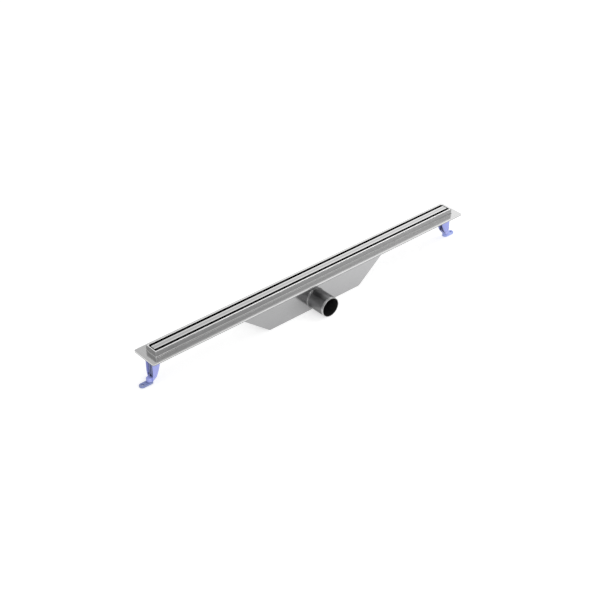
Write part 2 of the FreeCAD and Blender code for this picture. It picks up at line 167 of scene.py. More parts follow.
# Studio
FLOOR_HALF = 12.0
FLOOR_DROP = 0.2 * MM
FLOOR_ROUGHNESS = 0.9
SENSOR_WIDTH = 36.0
CLIP_END = 50.0
SKY_SLANTS = (-0.25, -0.03)


def colour_setting(name, description, default):
    """Colour of a finish."""
    return bpy.props.FloatVectorProperty(name=name, description=description, default=default,
                                         subtype="COLOR", size=3, min=0.0, max=1.0)


def share_setting(name, description, default):
    """Share or roughness from 0 to 1."""
    return bpy.props.FloatProperty(name=name, description=description, default=default,
                                   subtype="FACTOR", min=0.0, max=1.0)


def length_setting(name, description, default, low, high):
    """Length in metres, within its limits."""
    return bpy.props.FloatProperty(name=name, description=description, default=default,
                                   unit="LENGTH", min=low, max=high)


def place_setting(name, description, default):
    """Place in metres."""
    return bpy.props.FloatVectorProperty(name=name, description=description, default=default,
                                         subtype="XYZ", unit="LENGTH", size=3)


class ChannelSteelSettings(bpy.types.PropertyGroup):
    """Stainless sheet of the channel, the flange and the sump."""

    rim_colour: colour_setting("Ground rim", "Colour of the ground rim", (1.0, 1.0, 0.995))
    cover_colour: colour_setting("Cover", "Colour of the brushed cover strip", (1.0, 1.0, 0.995))
    # Painted shade: near-black colour on the sheet inside the slots and inside the troughs, where
    # only shade falls
    inside_colour: colour_setting(
        "Inside", "Colour of the dull sheet inside the slots", (0.004, 0.004, 0.004))
    # The walls below the ground top are darker, partly a rolled finish and partly painted shade
    wall_colour: colour_setting(
        "Upstand wall", "Colour of the upstand's unground walls", (0.38, 0.38, 0.38))
    flange_colour: colour_setting(
        "Flange", "Colour of the bright flange sheet", (0.76, 0.76, 0.76))
    sump_colour: colour_setting("Sump", "Colour of the sump plates", (0.52, 0.52, 0.525))
    trough_colour: colour_setting(
        "Troughs", "Colour of the outside of the troughs", (0.3, 0.3, 0.3))
    rim_roughness: share_setting("Rim roughness", "Roughness of the ground rim", 0.3)
    sheet_roughness: share_setting(
        "Sheet roughness", "Roughness of the flange and the troughs", 0.14)
    sump_roughness: share_setting("Sump roughness", "Roughness of the sump plates", 0.15)
    hem_roughness: share_setting(
        "Hem roughness", "Roughness of the folded edge of the flange", 0.3)
    grain_width: length_setting(
        "Grain width", "Width of the grinding lines", 0.0004, 0.00005, 0.005)
    ground_depth: length_setting(
        "Ground depth", "How far down the top is ground", 0.0006, 0.0, 0.002)
    # Painted light: the cover, the flange, the troughs and the lip grow lighter from the -X end
    # towards +X, where the light is brighter
    start_tone: share_setting("Tone at the start", "Tone of the brushing at the -X end", 0.86)
    # Painted light: the sump plates grow lighter from the -X end towards +X
    sump_start_tone: share_setting(
        "Sump tone at the start", "Tone of the sump's steel at the -X end", 0.6)
    # Painted highlight: the cover strip's sides are lighter than its middle
    middle_tone: share_setting("Middle tone", "Tone of the cover's middle against its sides", 0.7)
    # Painted light: the end walls take their own lighter tone than the side walls
    end_colour: colour_setting(
        "End walls", "Colour of the upstand's unground end walls", (0.55, 0.55, 0.55))
    # The rim's outer edge this wide takes the painted shade of the rounded edge, not the ground
    # finish
    turned_edge: length_setting(
        "Turned edge", "Width of the unground outer edge of the rim", 0.0004, 0.0, 0.003)
    # Painted shade: dark colour on the rounded outer edge below the rim
    edge_colour: colour_setting(
        "Rounded edge", "Colour of the rounded outer edge below the rim", (0.2, 0.2, 0.2))
    lip_height: length_setting(
        "Lip height", "Height of the flange's turned-up lip round the upstand", 0.002, 0.0002,
        0.004)
    # Painted shade: the lip's ground top darkens towards the +X end
    lip_end_tone: share_setting(
        "Lip tone at the end", "Tone of the lip's ground top at the +X end", 0.35)
    lip_width: length_setting(
        "Lip width", "Thickness of the flange's turned-up lip", 0.001, 0.0002, 0.003)
    hem_drop: length_setting(
        "Hem drop", "Thickness of the sheet folded back under the flange's edge", 0.0025, 0.0002,
        0.004)
    hem_colour: colour_setting("Hem", "Colour of the folded edge of the flange", (0.3, 0.3, 0.3))
    cut_colour: colour_setting("Cut edge", "Colour of the flange's cut edge", (0.75, 0.75, 0.75))
    hem_width: length_setting(
        "Hem width", "Width of the sheet folded back under the flange's edge", 0.006, 0.002, 0.015)


class InsideSettings(bpy.types.PropertyGroup):
    """Supports, hair sieve and odour trap."""

    # Painted shade: near-black colour on the supports, the weir and the sieve inside the channel
    inner_colour: colour_setting(
        "Inner parts", "Colour of the supports, the weir and the sieve", (0.08, 0.08, 0.08))
    inner_roughness: share_setting(
        "Inner roughness", "Roughness of the supports, the weir and the sieve", 0.4)
    bell_colour: colour_setting("Bell", "Colour of the trap's moulded bell", (0.05, 0.05, 0.055))
    bell_roughness: share_setting("Bell roughness", "Roughness of the trap's moulded bell", 0.45)
    seal_colour: colour_setting("Seal", "Colour of the trap's rubber seal", (0.025, 0.025, 0.025))
    seal_roughness: share_setting("Seal roughness", "Roughness of the trap's rubber seal", 0.7)


class OutletSteelSettings(bpy.types.PropertyGroup):
    """Drawn tube of the outlet."""

    tube_colour: colour_setting("Tube", "Colour of the drawn tube", (0.42, 0.42, 0.425))
    lip_colour: colour_setting("Mouth", "Colour of the bright bevel at the mouth", (0.5, 0.5, 0.5))
    # Painted shade: dark colour inside the bore
    bore_colour: colour_setting("Bore", "Colour of the dull inside", (0.12, 0.12, 0.12))
    collar_colour: colour_setting("Collar", "Colour of the collar on the sump", (0.28, 0.28, 0.28))
    roughness: share_setting("Roughness", "Roughness of the mouth and the collar", 0.3)
    bore_roughness: share_setting("Bore roughness", "Roughness of the dull inside", 0.5)
    wall: length_setting("Wall", "Wall of the tube", 0.002, 0.0005, 0.005)
    bevel_length: length_setting(
        "Bevel length", "Length of the bevel at the mouth", 0.004, 0.0, 0.02)
    bevel_depth: length_setting("Bevel depth", "How far the bevel goes in", 0.0009, 0.0, 0.0015)
    turn_steps: bpy.props.IntProperty(
        name="Turn steps", description="Facets round the turned tube", default=96, min=24, max=256)


class LegPlasticSettings(bpy.types.PropertyGroup):
    """Moulded plastic of the legs and feet."""

    colour: colour_setting("Plastic", "Colour of the moulded plastic", (0.43, 0.475, 1.0))
    foot_colour: colour_setting(
        "Foot plastic", "Colour of the greyer plastic of the feet", (0.44, 0.52, 1.0))
    # Painted shade: the feet darken towards the -X end
    foot_start_tone: share_setting(
        "Foot tone at the start", "Tone of the foot at the -X end", 0.62)
    roughness: share_setting("Roughness", "Roughness of the moulded surface", 0.32)
    # Painted shade: the plastic darkens deep in the recess of a leg
    recess_shade: share_setting(
        "Recess shade", "How dark the plastic gets deep in the recess", 0.28)
    recess_depth: length_setting(
        "Recess depth", "Depth at which the recess is darkest", 0.0024, 0.001, 0.02)
    edge_radius: length_setting(
        "Edge radius", "Radius on the moulded edges", 0.0003, 0.00005, 0.001)


class FastenerSettings(bpy.types.PropertyGroup):
    """Studs, nuts and clamp screws."""

    colour: colour_setting("Steel", "Colour of the plated fasteners", (0.3, 0.3, 0.31))
    screw_colour: colour_setting(
        "Clamp screws", "Colour of the blackened clamp screws", (0.03, 0.035, 0.06))
    roughness: share_setting("Roughness", "Roughness of the plated studs and nuts", 0.35)
    screw_roughness: share_setting(
        "Screw roughness", "Roughness of the blackened clamp screws", 0.4)
    thread_pitch: length_setting(
        "Thread pitch", "Pitch of the stud threads", 0.0008, 0.0002, 0.003)
    edge_radius: length_setting(
        "Edge radius", "Radius on the edges of nuts and screw heads", 0.00025, 0.00005, 0.001)


class StudioSettings(bpy.types.PropertyGroup):
    """Floor, light and camera."""

    camera_place: place_setting(
        "Camera place", "Where the camera stands", (-1.6489, -1.8495, 1.7133))
    camera_azimuth: bpy.props.FloatProperty(
        name="Azimuth", description="Angle of the view round the vertical, from +Y towards +X",
        default=math.radians(41.1493), subtype="ANGLE")
    camera_elevation: bpy.props.FloatProperty(
        name="Elevation", description="Angle of the view down from level",
        default=math.radians(34.4776), subtype="ANGLE")
    lens: bpy.props.FloatProperty(
        name="Lens", description="Focal length", default=77.447, unit="CAMERA")
    floor_colour: colour_setting("Floor", "Colour of the plain floor", (0.72, 0.72, 0.72))
    floor_lift: share_setting(
        "Floor lift", "Light added to the floor for the camera and in reflections", 0.55)
    sky_level: bpy.props.FloatProperty(
        name="Sky level", description="Level of the soft light from all round", default=0.62,
        min=0.0, max=2.0)
    high_sky_tone: share_setting(
        "High sky tone", "Tone of the high sky that the steel reflects", 0.5)
    key_power: bpy.props.FloatProperty(
        name="Key power", description="Power of the large soft lamp in front", default=44.0,
        min=0.0, max=500.0, unit="POWER")
    fill_share: share_setting(
        "Fill share", "Power of the second lamp as a share of the key's", 0.6)
    key_place: place_setting("Key place", "Where the key lamp hangs", (-0.6, -3.2, 1.9))
    fill_place: place_setting("Fill place", "Where the second lamp hangs", (2.4, -0.6, 3.0))
    lamp_size: length_setting("Lamp size", "Side of each square lamp", 2.4, 0.1, 10.0)


class NodeBench:
    """Short ways to add and join shader nodes in one tree."""

    def __init__(self, tree):
        self.tree = tree

    def add(self, kind, label="", **values):
        node = self.tree.nodes.new(kind)
        node.label = label
        for key, value in values.items():
            setattr(node, key, value)
        return node

    def feed(self, source, target):
        """Join an output to an input, or set the input to a plain value."""
        if isinstance(source, bpy.types.NodeSocket):
            self.tree.links.new(source, target)
        else:
            target.default_value = source

    def place(self):
        """Object coordinates of the point."""
        return self.add("ShaderNodeTexCoord", "Place on the piece").outputs["Object"]

    def place_parts(self):
        """Object coordinates of the point, one output for each axis."""
        split = self.add("ShaderNodeSeparateXYZ", "Place parts")
        self.feed(self.place(), split.inputs["Vector"])
        return split.outputs

    def grain(self, stretch, size, detail, label):
        """Noise on Object coordinates, stretched by one factor for each axis."""
        mapping = self.add("ShaderNodeMapping", label + " direction")
        noise = self.add("ShaderNodeTexNoise", label)
        self.feed(self.place(), mapping.inputs["Vector"])
        self.feed(stretch, mapping.inputs["Scale"])
        self.feed(mapping.outputs["Vector"], noise.inputs["Vector"])
        self.feed(1.0 / size, noise.inputs["Scale"])
        self.feed(detail, noise.inputs["Detail"])
        self.feed(GRAIN_ROUGHNESS, noise.inputs["Roughness"])
        return noise.outputs["Fac"]

    def handling_marks(self):
        return self.grain(EVEN, MARK_GRAIN, COARSE_DETAIL, "Handling marks")

    def spread(self, value, low, high, label, from_values=GRAIN_VALUES):
        """Map a value onto a range from low to high."""
        node = self.add("ShaderNodeMapRange", label)
        self.feed(value, node.inputs["Value"])
        self.feed(from_values[0], node.inputs["From Min"])
        self.feed(from_values[1], node.inputs["From Max"])
        self.feed(low, node.inputs["To Min"])
        self.feed(high, node.inputs["To Max"])
        return node.outputs["Result"]

    def calculate(self, operation, first, second, label):
        """One sum of two values, each an output or a number."""
        node = self.add("ShaderNodeMath", label, operation=operation)
        self.feed(first, node.inputs[0])
        self.feed(second, node.inputs[1])
        return node.outputs["Value"]

    def mix(self, first, second, factor, label, kind="MIX"):
        """Mix of two colours, each an output or a plain colour."""
        node = self.add("ShaderNodeMix", label, data_type="RGBA", blend_type=kind)
        self.feed(factor, node.inputs["Factor"])
        self.feed(first, node.inputs["A"])
        self.feed(second, node.inputs["B"])
        return node.outputs["Result"]

    def multiply(self, first, second, label):
        """Product of two colours."""
        return self.mix(first, second, 1.0, label, "MULTIPLY")

    def shade(self, colour, tones, value, label):
        """A colour made darker or lighter by a value."""
        dark, light = [tuple(min(1.0, channel * tone) for channel in colour) + (1.0,)
                       for tone in tones]
        return self.mix(dark, light, value, label)

    def bump(self, value, strength, label):
        node = self.add("ShaderNodeBump", label)
        self.feed(RELIEF_DEPTH, node.inputs["Distance"])
        self.feed(strength, node.inputs["Strength"])
        self.feed(value, node.inputs["Height"])
        return node.outputs["Normal"]

    def height(self, level, softness, label):
        """0 below a level on Z and 1 above it."""
        edge = (level - softness, level + softness)
        return self.spread(self.place_parts()["Z"], 0.0, 1.0, label, edge)

    def above_slope(self, level, fall, label):
        """1 above a bottom that rises evenly towards both ends, and 0 below it."""
        parts = self.place_parts()
        along = self.calculate("ABSOLUTE", parts["X"], 0.0, "Distance along")
        rise = self.calculate("MULTIPLY", along, fall, "Rise")
        clear = self.calculate("SUBTRACT", parts["Z"], rise, "Height over the slope")
        return self.calculate("GREATER_THAN", clear, level, label)

    def outside(self, half_x, half_y, label):
        """1 beyond a rectangle in plan and 0 inside it."""
        parts = self.place_parts()
        along = self.calculate("ABSOLUTE", parts["X"], 0.0, "Distance along")
        across = self.calculate("ABSOLUTE", parts["Y"], 0.0, "Distance across")
        past_end = self.calculate("GREATER_THAN", along, half_x, "Past the end")
        past_side = self.calculate("GREATER_THAN", across, half_y, "Past the side")
        return self.calculate("MAXIMUM", past_end, past_side, label)

    def slot_shade(self, end_x):
        """Painted shade: 1 along both slots, on their turned-down edges and a little onto the rim
        and the cover beside them, and 0 elsewhere.
        """
        parts = self.place_parts()
        bands = []
        for low, high in (FRONT_SLOT_SHADE, BACK_SLOT_SHADE):
            enters = self.spread(parts["Y"], 0.0, 1.0, "Slot begins",
                                 (low - SLOT_SHADE_EDGE, low + SLOT_SHADE_EDGE))
            leaves = self.spread(parts["Y"], 1.0, 0.0, "Slot ends",
                                 (high - SLOT_SHADE_EDGE, high + SLOT_SHADE_EDGE))
            bands.append(self.calculate("MULTIPLY", enters, leaves, "Slot"))
        both = self.calculate("MAXIMUM", bands[0], bands[1], "Both slots")
        along = self.calculate("ABSOLUTE", parts["X"], 0.0, "Distance along")
        between = self.calculate("LESS_THAN", along, end_x, "Between the ends")
        return self.calculate("MULTIPLY", both, between, "Slot shade")

    def along_tone(self, start, end=1.0):
        """Painted light: a tone that changes evenly from the -X end of the channel to its +X end.
        """
        part = self.spread(self.place_parts()["X"], 0.0, 1.0, "Along", (FRAME_LOW.x, FRAME_HIGH.x))
        return self.shade(WHITE, (start, end), part, "Tone from end to end")

    def recess_tone(self, depth, shade):
        """Painted shade: white on the faces of a leg and darker deep between its flanks, above the
        cup.
        """
        parts = self.place_parts()
        away = self.calculate("ABSOLUTE", parts["X"], 0.0, "Distance along")
        from_middle = self.calculate("SUBTRACT", parts["Y"], LEG_MIDDLE_Y, "From the middle")
        across = self.calculate("ABSOLUTE", from_middle, 0.0, "Distance across")
        deep = self.spread(away, 1.0, 0.0, "Deep in the recess", (LEG_OUTER_X - depth, LEG_OUTER_X))
        web = LEG_OUTER_X - RECESS_REACH * depth
        before_web = self.spread(away, 0.0, 1.0, "Before the web", (web, web + RECESS_EDGE * depth))
        inside = self.calculate("LESS_THAN", across, RECESS_HALF, "Between the flanks")
        above = self.calculate("GREATER_THAN", parts["Z"], CUP_TOP, "Above the cup")
        part = self.calculate("MULTIPLY", deep, before_web, "Depth part")
        part = self.calculate("MULTIPLY", part, inside, "Depth between flanks")
        part = self.calculate("MULTIPLY", part, above, "Recess")
        return self.shade(WHITE, (1.0, shade), part, "Recess tone")

    def drawing_bands(self, axis_point, colour, bands):
        """Painted reflection: bands along a tube on Y, with tones at angles from +X towards +Z."""
        turn = self.add("ShaderNodeMapping", "Tube axis up", vector_type="POINT")
        angle = self.add("ShaderNodeTexGradient", "Angle round the tube", gradient_type="RADIAL")
        # Painted reflection: the ramp holds the light and dark bands round the tube
        ramp = self.add("ShaderNodeValToRGB", "Drawing bands")
        self.feed(self.place(), turn.inputs["Vector"])
        self.feed((-math.pi / 2, 0.0, 0.0), turn.inputs["Rotation"])
        self.feed((-axis_point.x, -axis_point.z, 0.0), turn.inputs["Location"])
        self.feed(turn.outputs["Vector"], angle.inputs["Vector"])
        self.feed(angle.outputs["Fac"], ramp.inputs["Fac"])
        stops = ramp.color_ramp.elements
        while len(stops) > 1:
            stops.remove(stops[-1])
        for index, (degrees, level) in enumerate(bands):
            position = degrees / 360.0
            stop = stops.new(position) if index else stops[0]
            stop.position = position
            stop.color = tuple(channel * level for channel in colour) + (1.0,)
        return ramp.outputs["Color"]

    def seen_rays(self):
        """1 for camera, glossy and transmission rays, and 0 for the rest."""
        path = self.add("ShaderNodeLightPath", "Rays").outputs
        either = self.calculate("MAXIMUM", path["Is Camera Ray"], path["Is Glossy Ray"],
                                "Camera or glossy")
        return self.calculate("MAXIMUM", either, path["Is Transmission Ray"], "Or transmission")


def fresh_material(name, metallic=0.0):
    """New material with one Principled shader, its bench and the shader."""
    material = bpy.data.materials.new(name)
    material.use_nodes = True
    shader = material.node_tree.nodes["Principled BSDF"]
    shader.inputs["Metallic"].default_value = metallic
    return material, NodeBench(material.node_tree), shader


def finish_lines(bench, shader, lines, roughness, spread=LINE_SPREAD, relief=LINE_RELIEF):
    """Roughness and relief of steel with fine lines and faint handling marks."""
    line_part = bench.spread(lines, roughness - spread, roughness + spread, "Line roughness")
    mark_part = bench.spread(bench.handling_marks(), *MARK_SPREAD, "Mark roughness")
    total = bench.calculate("ADD", line_part, mark_part, "Roughness")
    bench.feed(total, shader.inputs["Roughness"])
    bench.feed(bench.bump(lines, relief, "Line relief"), shader.inputs["Normal"])


def sheet_steel(name, colour, roughness, grain_size, start_tone=1.0):
    """Rolled stainless sheet with one finish all over and painted light that changes from end to
    end.
    """
    material, bench, shader = fresh_material(name, metallic=1.0)
    lines = bench.grain(SHEET_LINES, grain_size, FINE_DETAIL, "Rolling lines")
    tone = bench.shade(colour, LINE_TONES, lines, "Line tone")
    tone = bench.multiply(tone, bench.along_tone(start_tone), "Tone along")
    bench.feed(tone, shader.inputs["Base Color"])
    finish_lines(bench, shader, lines, roughness)
    return material


def ground_top(bench, settings):
    """1 on the ground faces at the top of the channel, and 0 in the painted shade bands of the
    slots and at its outer edge.
    """
    turned = settings.turned_edge
    top = bench.height(FRAME_HIGH.z - settings.ground_depth, GROUND_EDGE, "Top")
    past_top = bench.outside(FRAME_HIGH.x - turned, FRAME_HIGH.y - turned, "Past the top")
    # The slots and the bands beside them take painted shade, not the ground finish
    slots = bench.slot_shade(FRAME_HIGH.x - SLOT_SHADE_END)
    painted_shade_or_unground = bench.calculate("MAXIMUM", past_top, slots, "Not ground")
    face = bench.calculate("SUBTRACT", 1.0, painted_shade_or_unground, "Face")
    return bench.calculate("MULTIPLY", top, face, "Ground")


def ground_colour(bench, colour, lines, start_tone, middle_tone):
    """Colour of the ground top, with painted light along the channel and a painted highlight on the
    sides of the cover strip.
    """
    bright = bench.shade(colour, LINE_TONES, lines, "Ground tone")
    bright = bench.multiply(bright, bench.along_tone(start_tone), "Ground along")
    # Painted highlight: the sides of the cover strip are lighter than its middle
    painted_side_highlight = bench.outside(FRAME_HIGH.x, UNHIGHLIGHTED_STRIP_HALF, "Sides of the strip")
    across = bench.shade(WHITE, (middle_tone, 1.0), painted_side_highlight, "Middle tone")
    return bench.multiply(bright, across, "Ground across")


def mill_colour(bench, settings, lines):
    """Colours below the ground top: outer walls (rolled finish and painted shade), end walls
    (painted light), rounded edge and inside (painted shade).
    """
    walls = bench.shade(settings.wall_colour, WALL_TONES, lines, "Rolled tone")
    # Painted light: the end walls take their own lighter colour
    ends = bench.shade(settings.end_colour, WALL_TONES, lines, "End tone")
    past_end = bench.outside(FRAME_HIGH.x - EDGE_RADIUS, FRAME_HIGH.x, "End walls")
    rolled = bench.mix(walls, ends, past_end, "Walls")
    # Painted shade on the rounded outer edge
    rounded = bench.shade(settings.edge_colour, WALL_TONES, lines, "Edge tone")
    edge = bench.height(FRAME_HIGH.z - EDGE_RADIUS, GROUND_EDGE, "Rounded edge")
    outer_finish = bench.mix(rolled, rounded, edge, "Outer finish")
    # Painted shade: near-black inside the slots and the channel
    painted_inside_shade = bench.shade(settings.inside_colour, DULL_TONES, bench.handling_marks(), "Inside tone")
    outer = bench.outside(FRAME_HIGH.x - EDGE_RADIUS, FRAME_HIGH.y - EDGE_RADIUS, "Outer side")
    return bench.mix(painted_inside_shade, outer_finish, outer, "Not ground finish")


def ground_over_mill(name, settings, colour, start_tone=1.0, middle_tone=1.0):
    """Steel ground on its top, painted shade in and beside the slots and on the rounded edge, and
    as rolled on its outer walls, darkened partly by painted shade.
    """
    material, bench, shader = fresh_material(name, metallic=1.0)
    lines = bench.grain(GROUND_LINES, settings.grain_width, FINE_DETAIL, "Grinding lines")
    bright = ground_colour(bench, colour, lines, start_tone, middle_tone)
    below = mill_colour(bench, settings, lines)
    finish = bench.mix(below, bright, ground_top(bench, settings), "Finish")
    bench.feed(finish, shader.inputs["Base Color"])
    finish_lines(bench, shader, lines, settings.rim_roughness, GROUND_SPREAD, GROUND_RELIEF)
    return material


def two_finish_steel(name, settings, face, edge, mask, edge_painted_light_end=1.0):
    """Rolled sheet with one finish on its face and another where the mask is 1, both with painted
    light from end to end.
    """
    material, bench, shader = fresh_material(name, metallic=1.0)
    lines = bench.grain(ROLLED_LINES, settings.grain_width, FINE_DETAIL, "Rolling lines")
    main_tone = bench.shade(face, LINE_TONES, lines, "Face tone")
    main_tone = bench.multiply(main_tone, bench.along_tone(settings.start_tone), "Face along")
    edge_tone = bench.shade(edge, WALL_TONES, lines, "Edge tone")
    edge_tone = bench.multiply(edge_tone, bench.along_tone(1.0, edge_painted_light_end), "Edge along")
    finish = bench.mix(main_tone, edge_tone, mask(bench), "Finish")
    bench.feed(finish, shader.inputs["Base Color"])
    finish_lines(bench, shader, lines, settings.sheet_roughness)
    return material


def drawn_tube_steel(settings):
    """Drawn tube with painted reflection: dark and light bands along its axis, and streaks that are
    partly grain and partly painted reflection.
    """
    material, bench, shader = fresh_material("drawn_tube_steel", metallic=1.0)
    streaks = bench.grain(STREAK_LINES, STREAK_GRAIN, MIDDLE_DETAIL, "Drawing streaks")
    fine = bench.grain(FINE_STREAK_LINES, FINE_STREAK_GRAIN, COARSE_DETAIL, "Fine streaks")
    # Painted reflection bands round the tube, times streaks along it
    bands = bench.drawing_bands(PIPE_AXIS, settings.tube_colour, TUBE_PAINTED_REFLECTION)
    tone = bench.shade(WHITE, STREAK_TONES, streaks, "Streak tone")
    bench.feed(bench.multiply(bands, tone, "Banded streaks"), shader.inputs["Base Color"])
    rough = bench.spread(fine, *STREAK_ROUGHNESS, "Streak roughness")
    bench.feed(rough, shader.inputs["Roughness"])
    bench.feed(bench.bump(fine, GROUND_RELIEF, "Streak relief"), shader.inputs["Normal"])
    return material


def plain_metal(name, colour, roughness):
    """Small metal surface with fine marks."""
    material, bench, shader = fresh_material(name, metallic=1.0)
    marks = bench.grain(EVEN, SMALL_MARK_GRAIN, MIDDLE_DETAIL, "Marks")
    bench.feed(bench.shade(colour, MARK_TONES, marks, "Tone"), shader.inputs["Base Color"])
    rough = bench.spread(marks, roughness - SMALL_MARK_SPREAD, roughness + SMALL_MARK_SPREAD,
                         "Roughness")
    bench.feed(rough, shader.inputs["Roughness"])
    return material


def moulded_plastic(name, colour, roughness, tones, recess=None, start_tone=1.0):
    """Moulded plastic with faint flow marks, a fine skin, painted light from end to end and, if
    asked, painted shade in a recess.
    """
    material, bench, shader = fresh_material(name)
    flow = bench.grain(FLOW_LINES, FLOW_GRAIN, COARSE_DETAIL, "Flow marks")
    skin = bench.grain(EVEN, SKIN_GRAIN, COARSE_DETAIL, "Skin")
    tone = bench.shade(colour, tones, flow, "Tone")
    tone = bench.multiply(tone, bench.along_tone(start_tone), "Tone along")
    if recess:
        tone = bench.multiply(tone, bench.recess_tone(*recess), "Tone in the recess")
    bench.feed(tone, shader.inputs["Base Color"])
    less, more = FLOW_SPREAD
    bench.feed(bench.spread(flow, roughness + less, roughness + more, "Roughness"),
               shader.inputs["Roughness"])
    bench.feed(bench.bump(skin, LINE_RELIEF, "Skin relief"), shader.inputs["Normal"])
    return material


def give_material(names, material):
    """Put one material on every slot of the frame's nodes."""
    for name in names:
        target = nodes[name]
        if not target.data.materials:
            target.data.materials.append(material)
        for slot in target.material_slots:
            slot.material = material


def make_piece(form, name, body, material, smooth_angle=SMOOTH_ANGLE):
    """Turn a bmesh into a finished piece that rides on a body."""
    mesh = bpy.data.meshes.new(name)
    form.to_mesh(mesh)
    form.free()
    piece = bpy.data.objects.new(name, mesh)
    bpy.context.scene.collection.objects.link(piece)
    mesh.materials.append(material)
    mesh.shade_smooth()
    mesh.set_sharp_from_angle(angle=smooth_angle)
    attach(piece, body)
    return piece


def rounded_copy(node, name, body, material, radius):
    """Copy of a frame node with its sharp edges rounded, in place of the node."""
    form = bmesh.new()
    form.from_mesh(nodes[node].data)
    bmesh.ops.remove_doubles(form, verts=form.verts, dist=MERGE_DISTANCE)
    bmesh.ops.dissolve_limit(form, angle_limit=FLAT_ANGLE, verts=form.verts, edges=form.edges,
                             use_dissolve_boundaries=False)
    sharp = [edge for edge in form.edges
             if len(edge.link_faces) == 2 and edge.calc_face_angle() > SHARP_ANGLE]
    bmesh.ops.bevel(form, geom=sharp, offset=radius, offset_type="OFFSET", segments=ROUND_SEGMENTS,
                    profile=0.5, affect="EDGES", clamp_overlap=True, material=-1)
    piece = make_piece(form, name, body, material)
    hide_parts(node)
    return piece


def spun(outline, centre, axis, steps, closed):
    """Full turn of an outline round an axis, with its faces outwards."""
    form = bmesh.new()
    points = [form.verts.new(point) for point in outline]
    ends = points[1:] + points[:1] if closed else points[1:]
    edges = [form.edges.new(pair) for pair in zip(points, ends)]
    bmesh.ops.spin(form, geom=points + edges, cent=centre, axis=axis, angle=math.tau, steps=steps,
                   use_merge=True, dvec=Vector())
    bmesh.ops.remove_doubles(form, verts=form.verts, dist=MERGE_DISTANCE)
    bmesh.ops.recalc_face_normals(form, faces=form.faces)
    return form


class DRAIN_OT_channel(bpy.types.Operator):
    """Finish the frame and the cover strip"""

    bl_idname = "drain.channel"
    bl_label = "Channel and cover"

    def execute(self, context):
        settings = context.scene.drain_channel
        rim = ground_over_mill("ground_rim_steel", settings, settings.rim_colour)
        give_material(["channel_frame"], rim)
        cover = ground_over_mill("brushed_cover_steel", settings, settings.cover_colour,
                                 settings.start_tone, settings.middle_tone)
        give_material(["cover_strip"], cover)
        return {"FINISHED"}


class DRAIN_OT_inside(bpy.types.Operator):
    """Finish the supports, the hair sieve and the odour trap"""

    bl_idname = "drain.inside"
    bl_label = "Supports, sieve and trap"

    def execute(self, context):
        settings = context.scene.drain_inside
        # Painted shade: the supports, the weir and the sieve are near-black inside the channel
        inner = sheet_steel("inner_sheet_steel", settings.inner_colour, settings.inner_roughness,
                            INNER_GRAIN)
        give_material(SUPPORTS + ["weir_box", "hair_sieve"], inner)
        bell = moulded_plastic("bell_plastic", settings.bell_colour, settings.bell_roughness,
                               BELL_TONES)
        give_material(["trap_bell"], bell)
        rubber = moulded_plastic("seal_rubber", settings.seal_colour, settings.seal_roughness,
                                 DULL_TONES)
        give_material(["trap_seal"], rubber)
        return {"FINISHED"}


class DRAIN_OT_body(bpy.types.Operator):
    """Finish the flange, the troughs and the sump"""

    bl_idname = "drain.body"
    bl_label = "Flange and sump"

    def execute(self, context):
        settings = context.scene.drain_channel
        flange = two_finish_steel("bright_flange_steel", settings, settings.flange_colour,
                                  settings.cut_colour, self.flange_edge)
        give_material(["sealing_flange"], flange)
        sump = sheet_steel("rolled_sump_steel", settings.sump_colour, settings.sump_roughness,
                           SHEET_GRAIN, settings.sump_start_tone)
        give_material(["sump_front_plate", "sump_rear_plate", "sump_floor"], sump)
        # The troughs are near-black inside as painted shade, and keep their own colour outside
        trough = two_finish_steel("rolled_trough_steel", settings, settings.inside_colour,
                                  settings.trough_colour, self.trough_outside)
        give_material(["trough_left", "trough_right"], trough)
        return {"FINISHED"}

    @staticmethod
    def flange_edge(bench):
        return bench.outside(FLANGE_HIGH.x - CUT_EDGE, FLANGE_HIGH.y - CUT_EDGE, "Cut edge")

    @staticmethod
    def trough_outside(bench):
        """1 on the outer walls and the bottom of a trough, whose ends lie on top of the legs."""
        past_wall = bench.outside(-TROUGH_LOW.x - TROUGH_WALL, TROUGH_HIGH.y - TROUGH_WALL,
                                  "Past the wall")
        fall = (LEG_HIGH.z - TROUGH_LOW.z) / (TROUGH_HIGH.x - TROUGH_LOW.x)
        bottom = TROUGH_LOW.z + fall * TROUGH_HIGH.x
        above = bench.above_slope(bottom + TROUGH_WALL, fall, "Above the bottom")
        below = bench.calculate("SUBTRACT", 1.0, above, "Bottom")
        return bench.calculate("MAXIMUM", past_wall, below, "Outside of the trough")


def ring_outline(half_x, half_y, corner):
    """Points of a rectangle with rounded corners, anticlockwise from +X."""
    points = []
    for turn, (sign_x, sign_y) in enumerate(((1, 1), (-1, 1), (-1, -1), (1, -1))):
        centre = Vector((sign_x * (half_x - corner), sign_y * (half_y - corner)))
        for step in range(CORNER_STEPS + 1):
            angle = math.pi / 2 * (turn + step / CORNER_STEPS)
            points.append(centre + corner * Vector((math.cos(angle), math.sin(angle))))
    return points


def swept_ring(half_x, half_y, corner, profile):
    """Closed ring: a closed profile of (inward, height) carried round a rounded rectangle."""
    form = bmesh.new()
    rows = []
    for inward, level in profile:
        outline = ring_outline(half_x - inward, half_y - inward, max(corner - inward, 0.0))
        rows.append([form.verts.new((point.x, point.y, level)) for point in outline])
    for first, second in zip(rows, rows[1:] + rows[:1]):
        edges = []
        for row in (first, second):
            for pair in zip(row, row[1:] + row[:1]):
                edges.append(form.edges.get(pair) or form.edges.new(pair))
        bmesh.ops.bridge_loops(form, edges=edges)
    bmesh.ops.remove_doubles(form, verts=form.verts, dist=MERGE_DISTANCE)
    bmesh.ops.recalc_face_normals(form, faces=form.faces)
    return form


